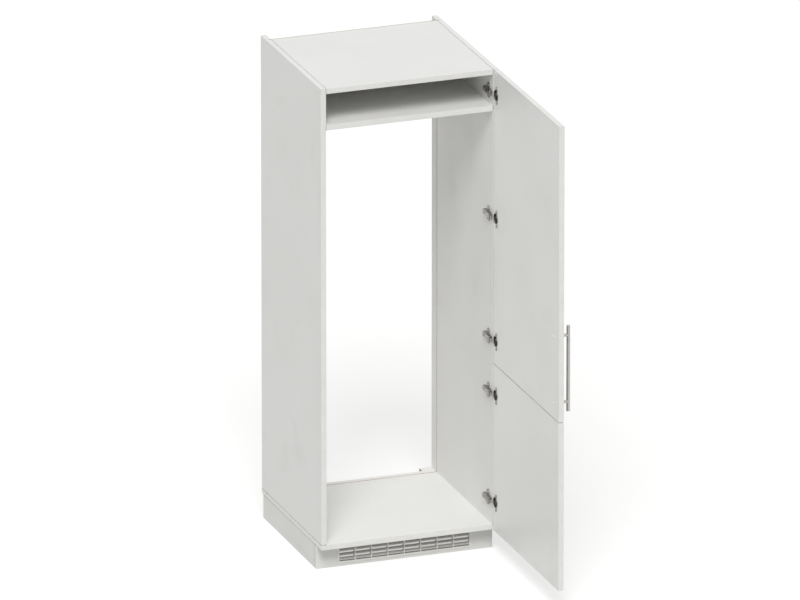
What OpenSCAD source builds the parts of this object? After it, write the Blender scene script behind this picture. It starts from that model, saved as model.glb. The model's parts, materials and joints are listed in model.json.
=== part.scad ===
// Tall kitchen housing for a built-in refrigerator: two sides standing on a base panel,
// a top, a fixed shelf, a recessed plinth with an air grille, and two doors on cup hinges.
// Millimetres, +Z up, the doors face -Y. The origin is on the floor, in the middle of the
// width and of the front plinth board's thickness. The doors are drawn standing open.

/* [Carcass] */
// Width across the outer faces of the sides
unit_w = 600; // [500:10:800]
// Depth of the sides from front edge to rear edge
unit_d = 570; // [550:5:620]
// Thickness of the carcass and plinth boards
board_t = 18; // [17:0.5:20]
// Clear height of the tall niche
niche_h = 1400; // [1220:10:1780]
// Clear height of the compartment above the fixed shelf
top_space_h = 104; // [96:1:360]
// Thickness of the edging glued to visible board edges
edge_t = 1; // [0.6:0.1:2]

/* [Back groove and air path] */
// Distance from the rear edges to the front wall of the groove
back_inset = 50; // [36:1:60]
// Thickness of the small back board in the groove
back_t = 3; // [2.5:0.1:4]
// Room left in the groove beside the back board
groove_play = 0.5; // [0.3:0.1:1]
// Depth of the groove cut in the boards
groove_deep = 7; // [4:0.5:9]
// Depth of the air cut-out in the rear edge of the base
vent_cut_d = 26; // [16:1:30]
// Width of the full-depth tab between a side's inner face and the air cut-out
vent_tab_w = 42; // [32:1:80]

/* [Plinth] */
// Height of the plinth boards
plinth_h = 80; // [78:1:120]
// Setback of the plinth face behind the carcass front
plinth_recess = 50; // [35:1:70]
// Setback of the side plinths from the rear edges
plinth_rear_gap = 13; // [5:1:30]
// Height of the rear rail under the base
rail_h = 45; // [44:1:60]
// Width and depth of the corner blocks
block_w = 25; // [24:1:35]
// Height of the corner blocks
block_h = 40; // [36:1:44]

/* [Air grille] */
// Overall width of the grille frame
grille_w = 455; // [300:5:470]
// Overall height of the grille frame
grille_h = 56; // [50:1:60]
// Height of the grille frame above the floor
grille_z = 10; // [8:1:14]
// Width of the lip around the slots
grille_lip = 6; // [5:0.5:8]
// Thickness of the lip in front of the plinth
grille_lip_t = 2; // [1.5:0.1:3]
// Depth of the grille behind its lip
grille_deep = 14; // [10:1:16]
// Number of slot columns
grille_columns = 8; // [4:1:10]
// Number of slot rows
grille_rows = 3; // [2:1:4]
// Thickness of the upright bars between columns
grille_bar_t = 3; // [2:0.5:4]
// Thickness of the slanting blades
blade_t = 1.6; // [1.2:0.1:2.4]
// Rise of the blades from front to rear
blade_rise = 4; // [1:0.5:6]
// Radius of the grille's outer corners
grille_corner_r = 5; // [3:0.5:5]

/* [Doors] */
// Thickness of the doors with their edging
door_t = 18; // [17:0.5:20]
// Height of the lower door
lower_door_h = 565; // [450:5:715]
// Gap between the two doors
door_gap = 3; // [2:0.5:4]
// Setback of the door edges from the carcass sides
door_reveal = 1.5; // [1:0.1:2]
// Gap between the closed doors and the carcass front
door_face_gap = 3; // [2.6:0.1:3.4]
// Distance from the upper door's ends to its outer hinges
upper_hinge_end = 80; // [76:1:84]
// Distance from the lower door's ends to its hinges
lower_hinge_end = 100; // [80:1:150]

/* [Cup hinges] */
// Diameter of the cup
cup_d = 35; // [35:0.1:35.4]
// Depth of the cup below the door face
cup_deep = 13; // [12.8:0.1:13.6]
// Wall thickness of the cup
cup_wall = 0.7; // [0.6:0.05:0.8]
// Distance from the door edge to the cup
cup_edge = 3; // [2.8:0.1:3.2]
// Thickness of the flange lying on the door
flange_t = 1.2; // [1:0.1:1.4]
// Distance between the two flange screws
flange_pitch = 48; // [46:1:52]
// Offset of the flange screws from the cup centre
flange_offset = 6; // [5:0.5:8]
// Diameter of the hinge pin
pin_d = 2; // [1.8:0.1:2]
// Radial running room of the hinge pin in the arm
pin_play = 0.06; // [0.03:0.01:0.1]
// Thickness of the swan neck of the arm
neck_t = 2; // [1.6:0.1:2]
// Width of the swan neck of the arm
neck_w = 10; // [8:0.5:10]
// Height of the arm channel above the mounting plate
arm_h = 9; // [8:0.5:10]
// Width of the arm channel
arm_w = 16; // [14:0.5:18]
// Sheet thickness of the arm channel
arm_sheet_t = 1.2; // [1:0.1:1.6]
// Length of the arm channel
arm_len = 58; // [54:1:64]
// Thickness of the mounting plate
plate_t = 3; // [2.4:0.1:3.4]
// Length of the mounting plate
plate_len = 46; // [42:1:50]
// Distance from the carcass front to the plate screws
plate_screw_y = 37; // [37:0.5:39]
// Distance between the two plate screws
plate_pitch = 32; // [32:1:36]
// Radius of the rounded wing ends of the plate
wing_r = 10; // [8:0.5:11]

/* [Handle] */
// Diameter of the handle bar
bar_d = 12; // [10:0.5:14]
// Length of the handle bar
bar_len = 288; // [260:4:400]
// Distance between the two posts
post_pitch = 224; // [160:32:224]
// Diameter of the posts
post_d = 10; // [8:0.5:11]
// Distance from the door face to the bar's centre line
bar_standoff = 32; // [28:1:38]
// Distance from the door's free edge to the bar's centre line
bar_inset = 48; // [35:1:70]
// Height of the bar's lower end above the door's lower edge
bar_lift = 18; // [12:1:80]

/* [Fittings] */
// Diameter of the wooden dowels
dowel_d = 8; // [6:1:8]
// Length of the wooden dowels
dowel_len = 30; // [28:1:34]
// Diameter of the cam housings
cam_d = 15; // [14:0.5:15.5]
// Height of the cam housings above their bolt heads
cam_cover = 0.5; // [0.5:0.1:0.8]
// Distance from the board end to the cam centre
cam_in = 34; // [30:1:38]
// Diameter of the cam bolt heads
bolt_head_d = 7; // [6.5:0.5:7]
// Diameter of the wood screws
screw_d = 4; // [3.5:0.5:4]
// Diameter of the wood screw heads
screw_head_d = 8; // [7:0.5:8]
// Height of the wood screw heads
screw_head_h = 2; // [1.6:0.1:2.2]
// Distance from the board ends to the nearest cams, along the depth
cam_end = 60; // [50:1:80]
// Diameter of the long screws through the base
base_screw_d = 6.4; // [5:0.1:7]
// Length of the long screws through the base
base_screw_len = 50; // [45:1:60]
// Distance between the long screws through the base
base_screw_pitch = 170; // [150:1:180]
// Room between fittings and the holes they sit in
fit_play = 0.05; // [0.02:0.01:0.1]

/* [Hidden] */
// roundness of arcs
$fn = 48;
// amount by which a cut passes the face that it opens
cut = 1;

// carcass planes
half_w = unit_w / 2;
inner_x = half_w - board_t;
front_y = -(plinth_recess + board_t / 2);
rear_y = front_y + unit_d;
core_y = front_y + edge_t;
groove_y = rear_y - back_inset;
groove_w = back_t + groove_play;
base_z = plinth_h;
floor_z = base_z + board_t;
shelf_z = floor_z + niche_h;
shelf_top_z = shelf_z + board_t;
roof_z = shelf_top_z + top_space_h;
top_z = roof_z + board_t;

// plinth planes
plinth_front_y = -board_t / 2;
plinth_back_y = board_t / 2;
side_plinth_end_y = rear_y - plinth_rear_gap;
rail_back_y = rear_y - vent_cut_d - board_t / 2;
rail_front_y = rail_back_y - board_t;

// doors, closed position
door_edge_x = half_w - door_reveal;
door_back_y = front_y - door_face_gap;
door_front_y = door_back_y - door_t;
lower_z = base_z;
upper_z = lower_z + lower_door_h + door_gap;
upper_door_h = top_z - upper_z;
door_open = 90;

// hinge pivot and cup, closed position
pivot_inset = 7;
pivot_deep = 8;
pivot_x = door_edge_x - pivot_inset;
pivot_y = door_back_y - pivot_deep;
cup_r = cup_d / 2;
cup_x = door_edge_x - cup_edge - cup_r;
cup_inner_r = cup_r - cup_wall;
flange_r = cup_r + cup_edge / 3;
flange_screw_x = cup_x - flange_offset;
ear_r = 6;
eye_r = pin_d / 2 + 1.1;
cheek_gap = 0.4;
cheek_t = 1.2;
cheek_w = 5;
cheek_rise = 2.6;
pin_len = neck_w + 2 * (cheek_gap + cheek_t);
cup_screw_len = 13;

// arm
neck_tilt = 14;
neck_run = 9;
neck_r = 7;
neck_start_x = pivot_x - neck_run * cos(neck_tilt);
neck_start_y = pivot_y - neck_run * sin(neck_tilt);
neck_centre_x = neck_start_x - neck_r * sin(neck_tilt);
neck_centre_y = neck_start_y + neck_r * cos(neck_tilt);
neck_steps = 12;
arm_front_y = front_y + 5;
arm_x = inner_x - plate_t - arm_h;
plate_front_y = front_y + 16;
arm_screw_d = 5;
arm_slot_len = 9;
arm_slot_y = arm_front_y + arm_len - 12;
side_screw_y = arm_front_y + 14;
plate_screw_len = 12;

// heights of the five hinges, top to bottom
hinge_z = [
  top_z - upper_hinge_end,
  upper_z + upper_door_h / 2,
  upper_z + upper_hinge_end,
  lower_z + lower_door_h - lower_hinge_end,
  lower_z + lower_hinge_end
];
upper_hinges = [0, 1, 2];
lower_hinges = [3, 4];

// handle, closed position
bar_x = -door_edge_x + bar_inset;
bar_y = door_front_y - bar_standoff;
bar_z = upper_z + bar_lift;
bar_chamfer = 0.8;
post_z = [for (s = [-1, 1]) bar_z + bar_len / 2 + s * post_pitch / 2];
handle_screw_reach = 12;

// joints of the carcass
cam_front_y = core_y + cam_end;
cam_rear_y = groove_y - cam_end;
cam_h = (board_t + bolt_head_d) / 2 + cam_cover;
cam_recess = 2;
dowel_step = 32;
joint_z = [shelf_z, roof_z];
side_s = [-1, 1];
dowel_in_side = dowel_len / 3;
bolt_in_side = 11;
bolt_shank_d = 5;
bolt_head_len = 3;
side_mid_x = half_w - board_t / 2;
base_mid_y = (plinth_back_y + groove_y) / 2;
base_screw_y = [for (k = [-1, 0, 1]) base_mid_y + k * base_screw_pitch];
base_dowel_y = [for (k = [-1, 1]) base_mid_y + k * base_screw_pitch / 2];
base_head_h = 3;
base_head_d = base_screw_d * 1.5;
base_dowel_in_base = board_t - 6;

// plinth blocks and their screws
block_front_y = plinth_back_y + block_w / 2;
block_rear_y = rail_front_y - block_w / 2;
block_x = inner_x - block_w / 2;
block_screw_shift = block_w / 4;
block_screw_len = block_w + 12;
block_screw_rise = 10;
block_riser_len = block_h + board_t * 0.6;

// grille
grille_top_z = grille_z + grille_h;
grille_in_w = grille_w - 2 * grille_lip;
grille_in_h = grille_h - 2 * grille_lip;
grille_wall = 2;
grille_room = 0.5;
column_pitch = (grille_in_w + grille_bar_t) / grille_columns;
row_pitch = grille_in_h / grille_rows;
blade_lift = (row_pitch - blade_rise - blade_t) / 2;

// back board pins
back_pin_d = 1.6;
back_pin_len = 22;
back_pin_head_d = 4;
back_pin_head_t = 0.8;
back_pin_in = 40;
back_pin_x = [for (k = [-1, 0, 1]) k * (inner_x - back_pin_in)];

// surface colours
board_c = [0.93, 0.93, 0.92];
edge_c = [0.88, 0.88, 0.87];
door_c = [0.95, 0.95, 0.94];
back_c = [0.85, 0.82, 0.76];
wood_c = [0.76, 0.60, 0.42];
steel_c = [0.72, 0.73, 0.75];
bright_c = [0.82, 0.83, 0.85];
zinc_c = [0.62, 0.63, 0.66];
plastic_c = [0.90, 0.90, 0.90];

// box between two opposite corners
module span(a, b) {
  translate(a) cube(b - a);
}

// swings what is drawn closed into the open position
module swung() {
  translate([pivot_x, pivot_y, 0]) rotate([0, 0, door_open])
    translate([-pivot_x, -pivot_y, 0]) children();
}

// screw along Z: its head stands above zero, its shank goes down, and a cross is cut on top
module screw(d, length, head_d, head_h) {
  slot_w = head_d / 7;
  slot_len = head_d * 0.6;
  difference() {
    union() {
      cylinder(d = head_d, h = head_h);
      translate([0, 0, -length]) cylinder(d = d, h = length + head_h / 2);
    }
    for (a = [0, 90]) rotate([0, 0, a])
      translate([-slot_len / 2, -slot_w / 2, head_h / 2]) cube([slot_len, slot_w, head_h]);
  }
}

// hole for a shank along Z below zero
module shank_hole(d, length) {
  translate([0, 0, -length - fit_play]) cylinder(d = d + 2 * fit_play, h = length + cut);
}

// places on the four ends of the top and of the shelf, X pointing out of the board end
module at_board_ends(ys) {
  for (z = joint_z, s = side_s, y = ys)
    translate([s * inner_x, y, z + board_t / 2]) mirror([s < 0 ? 1 : 0, 0, 0]) children();
}

// bore along X centred on the board end, reaching into the side and into the board
module end_bore(d, into_side, into_board) {
  translate([-into_board, 0, 0]) rotate([0, 90, 0]) cylinder(d = d, h = into_board + into_side);
}

module dowel_bores() {
  at_board_ends([cam_front_y + dowel_step, cam_rear_y - dowel_step])
    end_bore(dowel_d + 2 * fit_play, dowel_in_side + fit_play,
      dowel_len - dowel_in_side + fit_play);
}

module bolt_bores() {
  at_board_ends([cam_front_y, cam_rear_y]) {
    end_bore(bolt_shank_d + 2 * fit_play, bolt_in_side + fit_play, 0);
    end_bore(bolt_head_d + 2 * fit_play, 0, cam_in + cam_d / 2 - cut);
  }
}

module cam_bores() {
  at_board_ends([cam_front_y, cam_rear_y])
    translate([-cam_in, 0, -board_t / 2 - cut])
      cylinder(d = cam_d + 2 * fit_play, h = cam_h + cut + fit_play);
}

module base_bores() {
  for (s = side_s) {
    for (y = base_screw_y) translate([s * side_mid_x, y, base_z]) {
      translate([0, 0, -cut])
        cylinder(d = base_screw_d + 2 * fit_play, h = base_screw_len + cut + fit_play);
      translate([0, 0, -cut])
        cylinder(d = base_head_d + 2 * fit_play, h = base_head_h + cut + fit_play);
    }
    for (y = base_dowel_y)
      translate([s * side_mid_x, y, floor_z - base_dowel_in_base - fit_play])
        cylinder(d = dowel_d + 2 * fit_play, h = dowel_len + 2 * fit_play);
  }
}

// carcass boards

module side_board(s) {
  color(board_c) difference() {
    span([s > 0 ? inner_x : -half_w, core_y, floor_z], [s > 0 ? half_w : -inner_x, rear_y, top_z]);
    span([s * inner_x - groove_deep * (s > 0 ? 0 : 1), groove_y, floor_z - cut],
      [s * inner_x + groove_deep * (s > 0 ? 1 : 0), groove_y + groove_w, top_z + cut]);
    dowel_bores();
    bolt_bores();
    base_bores();
    if (s > 0) plate_bores();
  }
}

module side_left() { side_board(-1); }
module side_right() { side_board(1); }

module base_panel() {
  color(board_c) difference() {
    span([-half_w, core_y, base_z], [half_w, rear_y, floor_z]);
    span([-inner_x + vent_tab_w, rear_y - vent_cut_d, base_z - cut],
      [inner_x - vent_tab_w, rear_y + cut, floor_z + cut]);
    span([-half_w - cut, groove_y, floor_z - groove_deep],
      [half_w + cut, groove_y + groove_w, floor_z + cut]);
    base_bores();
    for (s = side_s, y = [block_front_y, block_rear_y]) block_riser_hole(s, y);
  }
}

module cross_board(z) {
  color(board_c) difference() {
    span([-inner_x, core_y, z], [inner_x, groove_y, z + board_t]);
    dowel_bores();
    bolt_bores();
    cam_bores();
    for (x = back_pin_x) translate([x, groove_y + back_t, z + board_t / 2])
      rotate([-90, 0, 0]) shank_hole(back_pin_d, back_pin_len);
  }
}

module top_panel() { cross_board(roof_z); }
module fixed_shelf() { cross_board(shelf_z); }

module upper_back() {
  color(back_c) difference() {
    span([-inner_x - groove_deep + groove_play, groove_y, shelf_z],
      [inner_x + groove_deep - groove_play, groove_y + back_t, top_z]);
    for (x = back_pin_x, z = joint_z) translate([x, groove_y + back_t, z + board_t / 2])
      rotate([-90, 0, 0]) shank_hole(back_pin_d, back_pin_len);
  }
}

module back_pins() {
  color(zinc_c) for (x = back_pin_x, z = joint_z)
    translate([x, groove_y + back_t, z + board_t / 2]) rotate([-90, 0, 0]) {
      cylinder(d = back_pin_head_d, h = back_pin_head_t);
      translate([0, 0, -back_pin_len]) cylinder(d = back_pin_d, h = back_pin_len + back_pin_head_t / 2);
    }
}

// edging strips on the front edges

module front_strip(a, b) {
  color(edge_c) span([a[0], front_y, a[1]], [b[0], core_y, b[1]]);
}

module side_left_edging() { front_strip([-half_w, floor_z], [-inner_x, top_z]); }
module side_right_edging() { front_strip([inner_x, floor_z], [half_w, top_z]); }
module base_edging() { front_strip([-half_w, base_z], [half_w, floor_z]); }
module top_edging() { front_strip([-inner_x, roof_z], [inner_x, top_z]); }
module shelf_edging() { front_strip([-inner_x, shelf_z], [inner_x, shelf_top_z]); }

// hidden joints of the carcass

module carcass_dowels() {
  color(wood_c) {
    at_board_ends([cam_front_y + dowel_step, cam_rear_y - dowel_step])
      end_bore(dowel_d, dowel_in_side, dowel_len - dowel_in_side);
    for (s = side_s, y = base_dowel_y)
      translate([s * side_mid_x, y, floor_z - base_dowel_in_base])
        cylinder(d = dowel_d, h = dowel_len);
  }
}

module cam_housings() {
  pocket_d = bolt_head_d + cam_cover * 0.8;
  color(zinc_c) at_board_ends([cam_front_y, cam_rear_y])
    translate([-cam_in, 0, -board_t / 2]) difference() {
      cylinder(d = cam_d, h = cam_h);
      translate([-bolt_head_len, 0, board_t / 2]) rotate([0, 90, 0])
        cylinder(d = pocket_d, h = cam_d);
      for (a = [0, 90]) rotate([0, 0, a])
        translate([-cam_d / 4, -cam_d / 12, -cut]) cube([cam_d / 2, cam_d / 6, cut + cam_recess]);
    }
}

module cam_bolts() {
  color(steel_c) at_board_ends([cam_front_y, cam_rear_y]) {
    end_bore(bolt_shank_d, bolt_in_side, cam_in);
    translate([-cam_in, 0, 0]) rotate([0, 90, 0]) cylinder(d = bolt_head_d, h = bolt_head_len);
  }
}

module base_screws() {
  color(zinc_c) for (s = side_s, y = base_screw_y)
    translate([s * side_mid_x, y, base_z + base_head_h]) rotate([180, 0, 0])
      screw(base_screw_d, base_screw_len - base_head_h, base_head_d, base_head_h);
}

// plinth

module plinth_front() {
  body_w = grille_w - 2 * (grille_lip - grille_wall) + 2 * grille_room;
  body_h = grille_h - 2 * (grille_lip - grille_wall) + 2 * grille_room;
  color(board_c) difference() {
    span([-half_w, plinth_front_y, 0], [half_w, plinth_back_y, plinth_h]);
    span([-body_w / 2, plinth_front_y - cut, grille_z + (grille_h - body_h) / 2],
      [body_w / 2, plinth_back_y + cut, grille_z + (grille_h + body_h) / 2]);
    for (s = side_s) block_long_hole(s, block_front_y, -1);
  }
}

module side_plinth(s) {
  color(board_c) difference() {
    span([s > 0 ? inner_x : -half_w, plinth_back_y, 0],
      [s > 0 ? half_w : -inner_x, side_plinth_end_y, plinth_h]);
    block_side_hole(s, block_front_y);
    block_side_hole(s, block_rear_y);
  }
}

module plinth_left() { side_plinth(-1); }
module plinth_right() { side_plinth(1); }

module plinth_rear_rail() {
  color(board_c) difference() {
    span([-inner_x, rail_front_y, plinth_h - rail_h], [inner_x, rail_back_y, plinth_h]);
    for (s = side_s) block_long_hole(s, block_rear_y, 1);
  }
}

// the three screws of a block: up into the base, out into the side plinth, and along Y
module block_riser(s, y) {
  translate([s * block_x, y, plinth_h - block_h]) rotate([180, 0, 0]) children();
}

module block_sider(s, y) {
  translate([s * (block_x - block_w / 2), y + block_screw_shift, plinth_h - block_screw_rise])
    rotate([0, -90 * s, 0]) children();
}

// dir is -1 for a screw that goes forward and 1 for a screw that goes back
module block_longer(s, y, dir) {
  translate([s * (block_x - block_screw_shift), y - dir * block_w / 2,
    plinth_h - block_h + block_screw_rise]) rotate([90 * dir, 0, 0]) children();
}

module block_riser_hole(s, y) {
  block_riser(s, y) shank_hole(screw_d, block_riser_len);
}

module block_side_hole(s, y) {
  block_sider(s, y) shank_hole(screw_d, block_screw_len);
}

module block_long_hole(s, y, dir) {
  block_longer(s, y, dir) shank_hole(screw_d, block_screw_len);
}

module plinth_blocks() {
  color(plastic_c) for (s = side_s, f = [-1, 1]) {
    y = f < 0 ? block_front_y : block_rear_y;
    difference() {
      span([s * block_x - block_w / 2, y - block_w / 2, plinth_h - block_h],
        [s * block_x + block_w / 2, y + block_w / 2, plinth_h]);
      block_riser_hole(s, y);
      block_side_hole(s, y);
      block_long_hole(s, y, f);
    }
  }
}

module plinth_screws() {
  color(zinc_c) for (s = side_s, f = [-1, 1]) {
    y = f < 0 ? block_front_y : block_rear_y;
    block_riser(s, y) screw(screw_d, block_riser_len, screw_head_d, screw_head_h);
    block_sider(s, y) screw(screw_d, block_screw_len, screw_head_d, screw_head_h);
    block_longer(s, y, f) screw(screw_d, block_screw_len, screw_head_d, screw_head_h);
  }
}

// rounded plate in the XZ plane, its front face at y
module rounded_plate(w, h, r, y, t) {
  translate([0, y + t, grille_z + grille_h / 2]) rotate([90, 0, 0]) linear_extrude(t) union() {
    square([w - 2 * r, h], center = true);
    square([w, h - 2 * r], center = true);
    for (a = [-1, 1], b = [-1, 1]) translate([a * (w / 2 - r), b * (h / 2 - r)]) circle(r);
  }
}

module vent_grille() {
  lip_y = plinth_front_y - grille_lip_t;
  end_y = plinth_front_y + grille_deep;
  body_w = grille_in_w + 2 * grille_wall;
  body_h = grille_in_h + 2 * grille_wall;
  low_z = grille_z + grille_lip;
  color(plastic_c) {
    difference() {
      union() {
        rounded_plate(grille_w, grille_h, grille_corner_r, lip_y, grille_lip_t);
        span([-body_w / 2, plinth_front_y - grille_lip_t / 2, low_z - grille_wall],
          [body_w / 2, end_y, low_z - grille_wall + body_h]);
      }
      span([-grille_in_w / 2, lip_y - cut, low_z], [grille_in_w / 2, end_y + cut, low_z + grille_in_h]);
    }
    for (k = [1:grille_columns - 1])
      span([-grille_in_w / 2 + k * column_pitch - grille_bar_t, lip_y + grille_lip_t / 4, low_z - grille_wall / 2],
        [-grille_in_w / 2 + k * column_pitch, end_y, low_z + grille_in_h + grille_wall / 2]);
    // blades slope down to the front, one to each row
    for (k = [0:grille_rows - 1])
      translate([-grille_in_w / 2 - grille_wall / 2, 0, low_z + k * row_pitch + blade_lift])
      rotate([90, 0, 90]) linear_extrude(grille_in_w + grille_wall)
        polygon([[lip_y + grille_lip_t / 2, 0], [lip_y + grille_lip_t / 2, blade_t],
          [end_y - grille_wall, blade_rise + blade_t], [end_y - grille_wall, blade_rise]]);
  }
}

// fixed half of the hinges

function reverse(a) = [for (i = [len(a) - 1:-1:0]) a[i]];

// one side of the swan neck from the pivot to the arm; r is the radius of that side's bend
// and side is 1 for the outer side of the bend
function neck_line(r, side) = concat(
  [[pivot_x + side * neck_t / 2 * sin(neck_tilt), pivot_y - side * neck_t / 2 * cos(neck_tilt)]],
  [for (k = [0:neck_steps]) let (a = neck_tilt - 90 - k * (90 + neck_tilt) / neck_steps)
    [neck_centre_x + r * cos(a), neck_centre_y + r * sin(a)]],
  [[neck_centre_x - r, arm_front_y + arm_sheet_t / 2]]);

// moves a hinge drawn at height zero to its row
module at_hinge(k) { translate([0, 0, hinge_z[k]]) children(); }

module plate_bores() {
  for (k = [0:len(hinge_z) - 1], s = side_s)
    translate([inner_x - plate_t, front_y + plate_screw_y, hinge_z[k] + s * plate_pitch / 2])
      rotate([0, -90, 0]) shank_hole(arm_screw_d, plate_screw_len + plate_t);
}

module hinge_plate() {
  screw_y = front_y + plate_screw_y;
  rail_w = arm_w + 2;
  color(steel_c) difference() {
    union() {
      span([inner_x - plate_t, plate_front_y, -rail_w / 2],
        [inner_x, plate_front_y + plate_len, rail_w / 2]);
      span([inner_x - plate_t, screw_y - wing_r * 0.8, -plate_pitch / 2],
        [inner_x, screw_y + wing_r * 0.8, plate_pitch / 2]);
      for (s = side_s) translate([inner_x - plate_t, screw_y, s * plate_pitch / 2])
        rotate([0, 90, 0]) cylinder(r = wing_r, h = plate_t);
    }
    for (s = side_s) translate([inner_x - plate_t, screw_y, s * plate_pitch / 2])
      rotate([0, -90, 0]) shank_hole(arm_screw_d, plate_t + cut);
    translate([inner_x - plate_t, arm_slot_y, 0]) rotate([0, -90, 0])
      shank_hole(arm_screw_d, plate_t + cut);
  }
}

module hinge_arm() {
  arm_end_y = arm_front_y + arm_len;
  base_x = inner_x - plate_t;
  color(bright_c) difference() {
    union() {
      // folded channel
      difference() {
        span([arm_x, arm_front_y, -arm_w / 2], [base_x, arm_end_y, arm_w / 2]);
        span([arm_x + arm_sheet_t, arm_front_y + arm_sheet_t, -arm_w / 2 + arm_sheet_t],
          [base_x + cut, arm_end_y + cut, arm_w / 2 - arm_sheet_t]);
      }
      // straight leg, bend and tongue of the swan neck, ending in the eye
      translate([0, 0, -neck_w / 2]) linear_extrude(neck_w)
        polygon(concat(neck_line(neck_r + neck_t / 2, 1), reverse(neck_line(neck_r - neck_t / 2, -1))));
      translate([pivot_x, pivot_y, -neck_w / 2]) cylinder(r = eye_r, h = neck_w);
    }
    translate([pivot_x, pivot_y, -neck_w / 2 - cut])
      cylinder(r = pin_d / 2 + pin_play, h = neck_w + 2 * cut);
    // slot for the fixing screw and hole for the side adjusting screw
    for (e = side_s) translate([arm_x - cut, arm_slot_y + e * (arm_slot_len - arm_screw_d) / 2, 0])
      rotate([0, 90, 0]) cylinder(d = arm_screw_d + 4 * fit_play, h = arm_sheet_t + 2 * cut);
    span([arm_x - cut, arm_slot_y - (arm_slot_len - arm_screw_d) / 2, -arm_screw_d / 2],
      [arm_x + arm_sheet_t + cut, arm_slot_y + (arm_slot_len - arm_screw_d) / 2, arm_screw_d / 2]);
    translate([arm_x - cut, side_screw_y, 0])
      rotate([0, 90, 0]) cylinder(d = arm_screw_d + 2 * fit_play, h = arm_sheet_t + 2 * cut);
  }
}

module hinge_plate_1() { at_hinge(0) hinge_plate(); }
module hinge_plate_2() { at_hinge(1) hinge_plate(); }
module hinge_plate_3() { at_hinge(2) hinge_plate(); }
module hinge_plate_4() { at_hinge(3) hinge_plate(); }
module hinge_plate_5() { at_hinge(4) hinge_plate(); }
module hinge_arm_1() { at_hinge(0) hinge_arm(); }
module hinge_arm_2() { at_hinge(1) hinge_arm(); }
module hinge_arm_3() { at_hinge(2) hinge_arm(); }
module hinge_arm_4() { at_hinge(3) hinge_arm(); }
module hinge_arm_5() { at_hinge(4) hinge_arm(); }

module plate_screws() {
  color(zinc_c) for (k = [0:len(hinge_z) - 1], s = side_s)
    translate([inner_x - plate_t, front_y + plate_screw_y, hinge_z[k] + s * plate_pitch / 2])
      rotate([0, -90, 0])
        screw(arm_screw_d, plate_screw_len + plate_t, screw_head_d, screw_head_h);
}

// fixing screw and side adjusting screw of every arm
module arm_screws() {
  color(zinc_c) for (k = [0:len(hinge_z) - 1]) {
    translate([arm_x, arm_slot_y, hinge_z[k]]) rotate([0, -90, 0])
      screw(arm_screw_d, arm_h + plate_t - fit_play, screw_head_d, screw_head_h);
    translate([arm_x, side_screw_y, hinge_z[k]]) rotate([0, -90, 0])
      screw(arm_screw_d, arm_h, screw_head_d * 0.8, screw_head_h / 2);
  }
}

// moving half of the hinges, drawn closed

module cup_screw_places(k) {
  for (s = side_s) translate([flange_screw_x, door_back_y + flange_t, hinge_z[k] + s * flange_pitch / 2])
    rotate([-90, 0, 0]) children();
}

module hinge_cup(k) {
  color(steel_c) swung() difference() {
    union() {
      difference() {
        union() {
          translate([cup_x, door_back_y - cup_deep, hinge_z[k]]) rotate([-90, 0, 0])
            cylinder(r = cup_r, h = cup_deep + flange_t / 2);
          // flange with an ear above and below
          translate([cup_x, door_back_y, hinge_z[k]]) rotate([-90, 0, 0])
            cylinder(r = flange_r, h = flange_t);
          span([flange_screw_x - ear_r, door_back_y, hinge_z[k] - flange_pitch / 2],
            [flange_screw_x + ear_r, door_back_y + flange_t, hinge_z[k] + flange_pitch / 2]);
          for (s = side_s) translate([flange_screw_x, door_back_y, hinge_z[k] + s * flange_pitch / 2])
            rotate([-90, 0, 0]) cylinder(r = ear_r, h = flange_t);
        }
        translate([cup_x, door_back_y - cup_deep + cup_wall, hinge_z[k]]) rotate([-90, 0, 0])
          cylinder(r = cup_inner_r, h = cup_deep + flange_t);
      }
      // cheeks that hold the pin
      for (s = side_s) span([pivot_x - cheek_w / 2, door_back_y - cup_deep + cup_wall / 2,
        hinge_z[k] + s * (neck_w / 2 + cheek_gap + cheek_t / 2) - cheek_t / 2],
        [pivot_x + cheek_w / 2, pivot_y + cheek_rise,
          hinge_z[k] + s * (neck_w / 2 + cheek_gap + cheek_t / 2) + cheek_t / 2]);
    }
    translate([pivot_x, pivot_y, hinge_z[k] - pin_len / 2]) cylinder(d = pin_d, h = pin_len);
    cup_screw_places(k) shank_hole(screw_d, flange_t + cut);
  }
}

module hinge_pin(k) {
  color(bright_c) swung() translate([pivot_x, pivot_y, hinge_z[k] - pin_len / 2])
    cylinder(d = pin_d, h = pin_len);
}

module cup_screws(rows) {
  color(zinc_c) swung() for (k = rows) cup_screw_places(k)
    screw(screw_d, cup_screw_len, screw_head_d, screw_head_h);
}

module hinge_cup_1() { hinge_cup(0); }
module hinge_cup_2() { hinge_cup(1); }
module hinge_cup_3() { hinge_cup(2); }
module hinge_cup_4() { hinge_cup(3); }
module hinge_cup_5() { hinge_cup(4); }
module hinge_pin_1() { hinge_pin(0); }
module hinge_pin_2() { hinge_pin(1); }
module hinge_pin_3() { hinge_pin(2); }
module hinge_pin_4() { hinge_pin(3); }
module hinge_pin_5() { hinge_pin(4); }
module upper_cup_screws() { cup_screws(upper_hinges); }
module lower_cup_screws() { cup_screws(lower_hinges); }

// doors, drawn closed

module door_board(z, h, rows) {
  difference() {
    span([-door_edge_x + edge_t, door_front_y, z + edge_t],
      [door_edge_x - edge_t, door_back_y, z + h - edge_t]);
    for (k = rows) {
      translate([cup_x, door_back_y - cup_deep - fit_play, hinge_z[k]]) rotate([-90, 0, 0])
        cylinder(r = cup_r + fit_play, h = cup_deep + cut);
      cup_screw_places(k) shank_hole(screw_d, cup_screw_len);
    }
  }
}

module door_edging(z, h) {
  color(edge_c) swung() difference() {
    span([-door_edge_x, door_front_y, z], [door_edge_x, door_back_y, z + h]);
    span([-door_edge_x + edge_t, door_front_y - cut, z + edge_t],
      [door_edge_x - edge_t, door_back_y + cut, z + h - edge_t]);
  }
}

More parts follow.
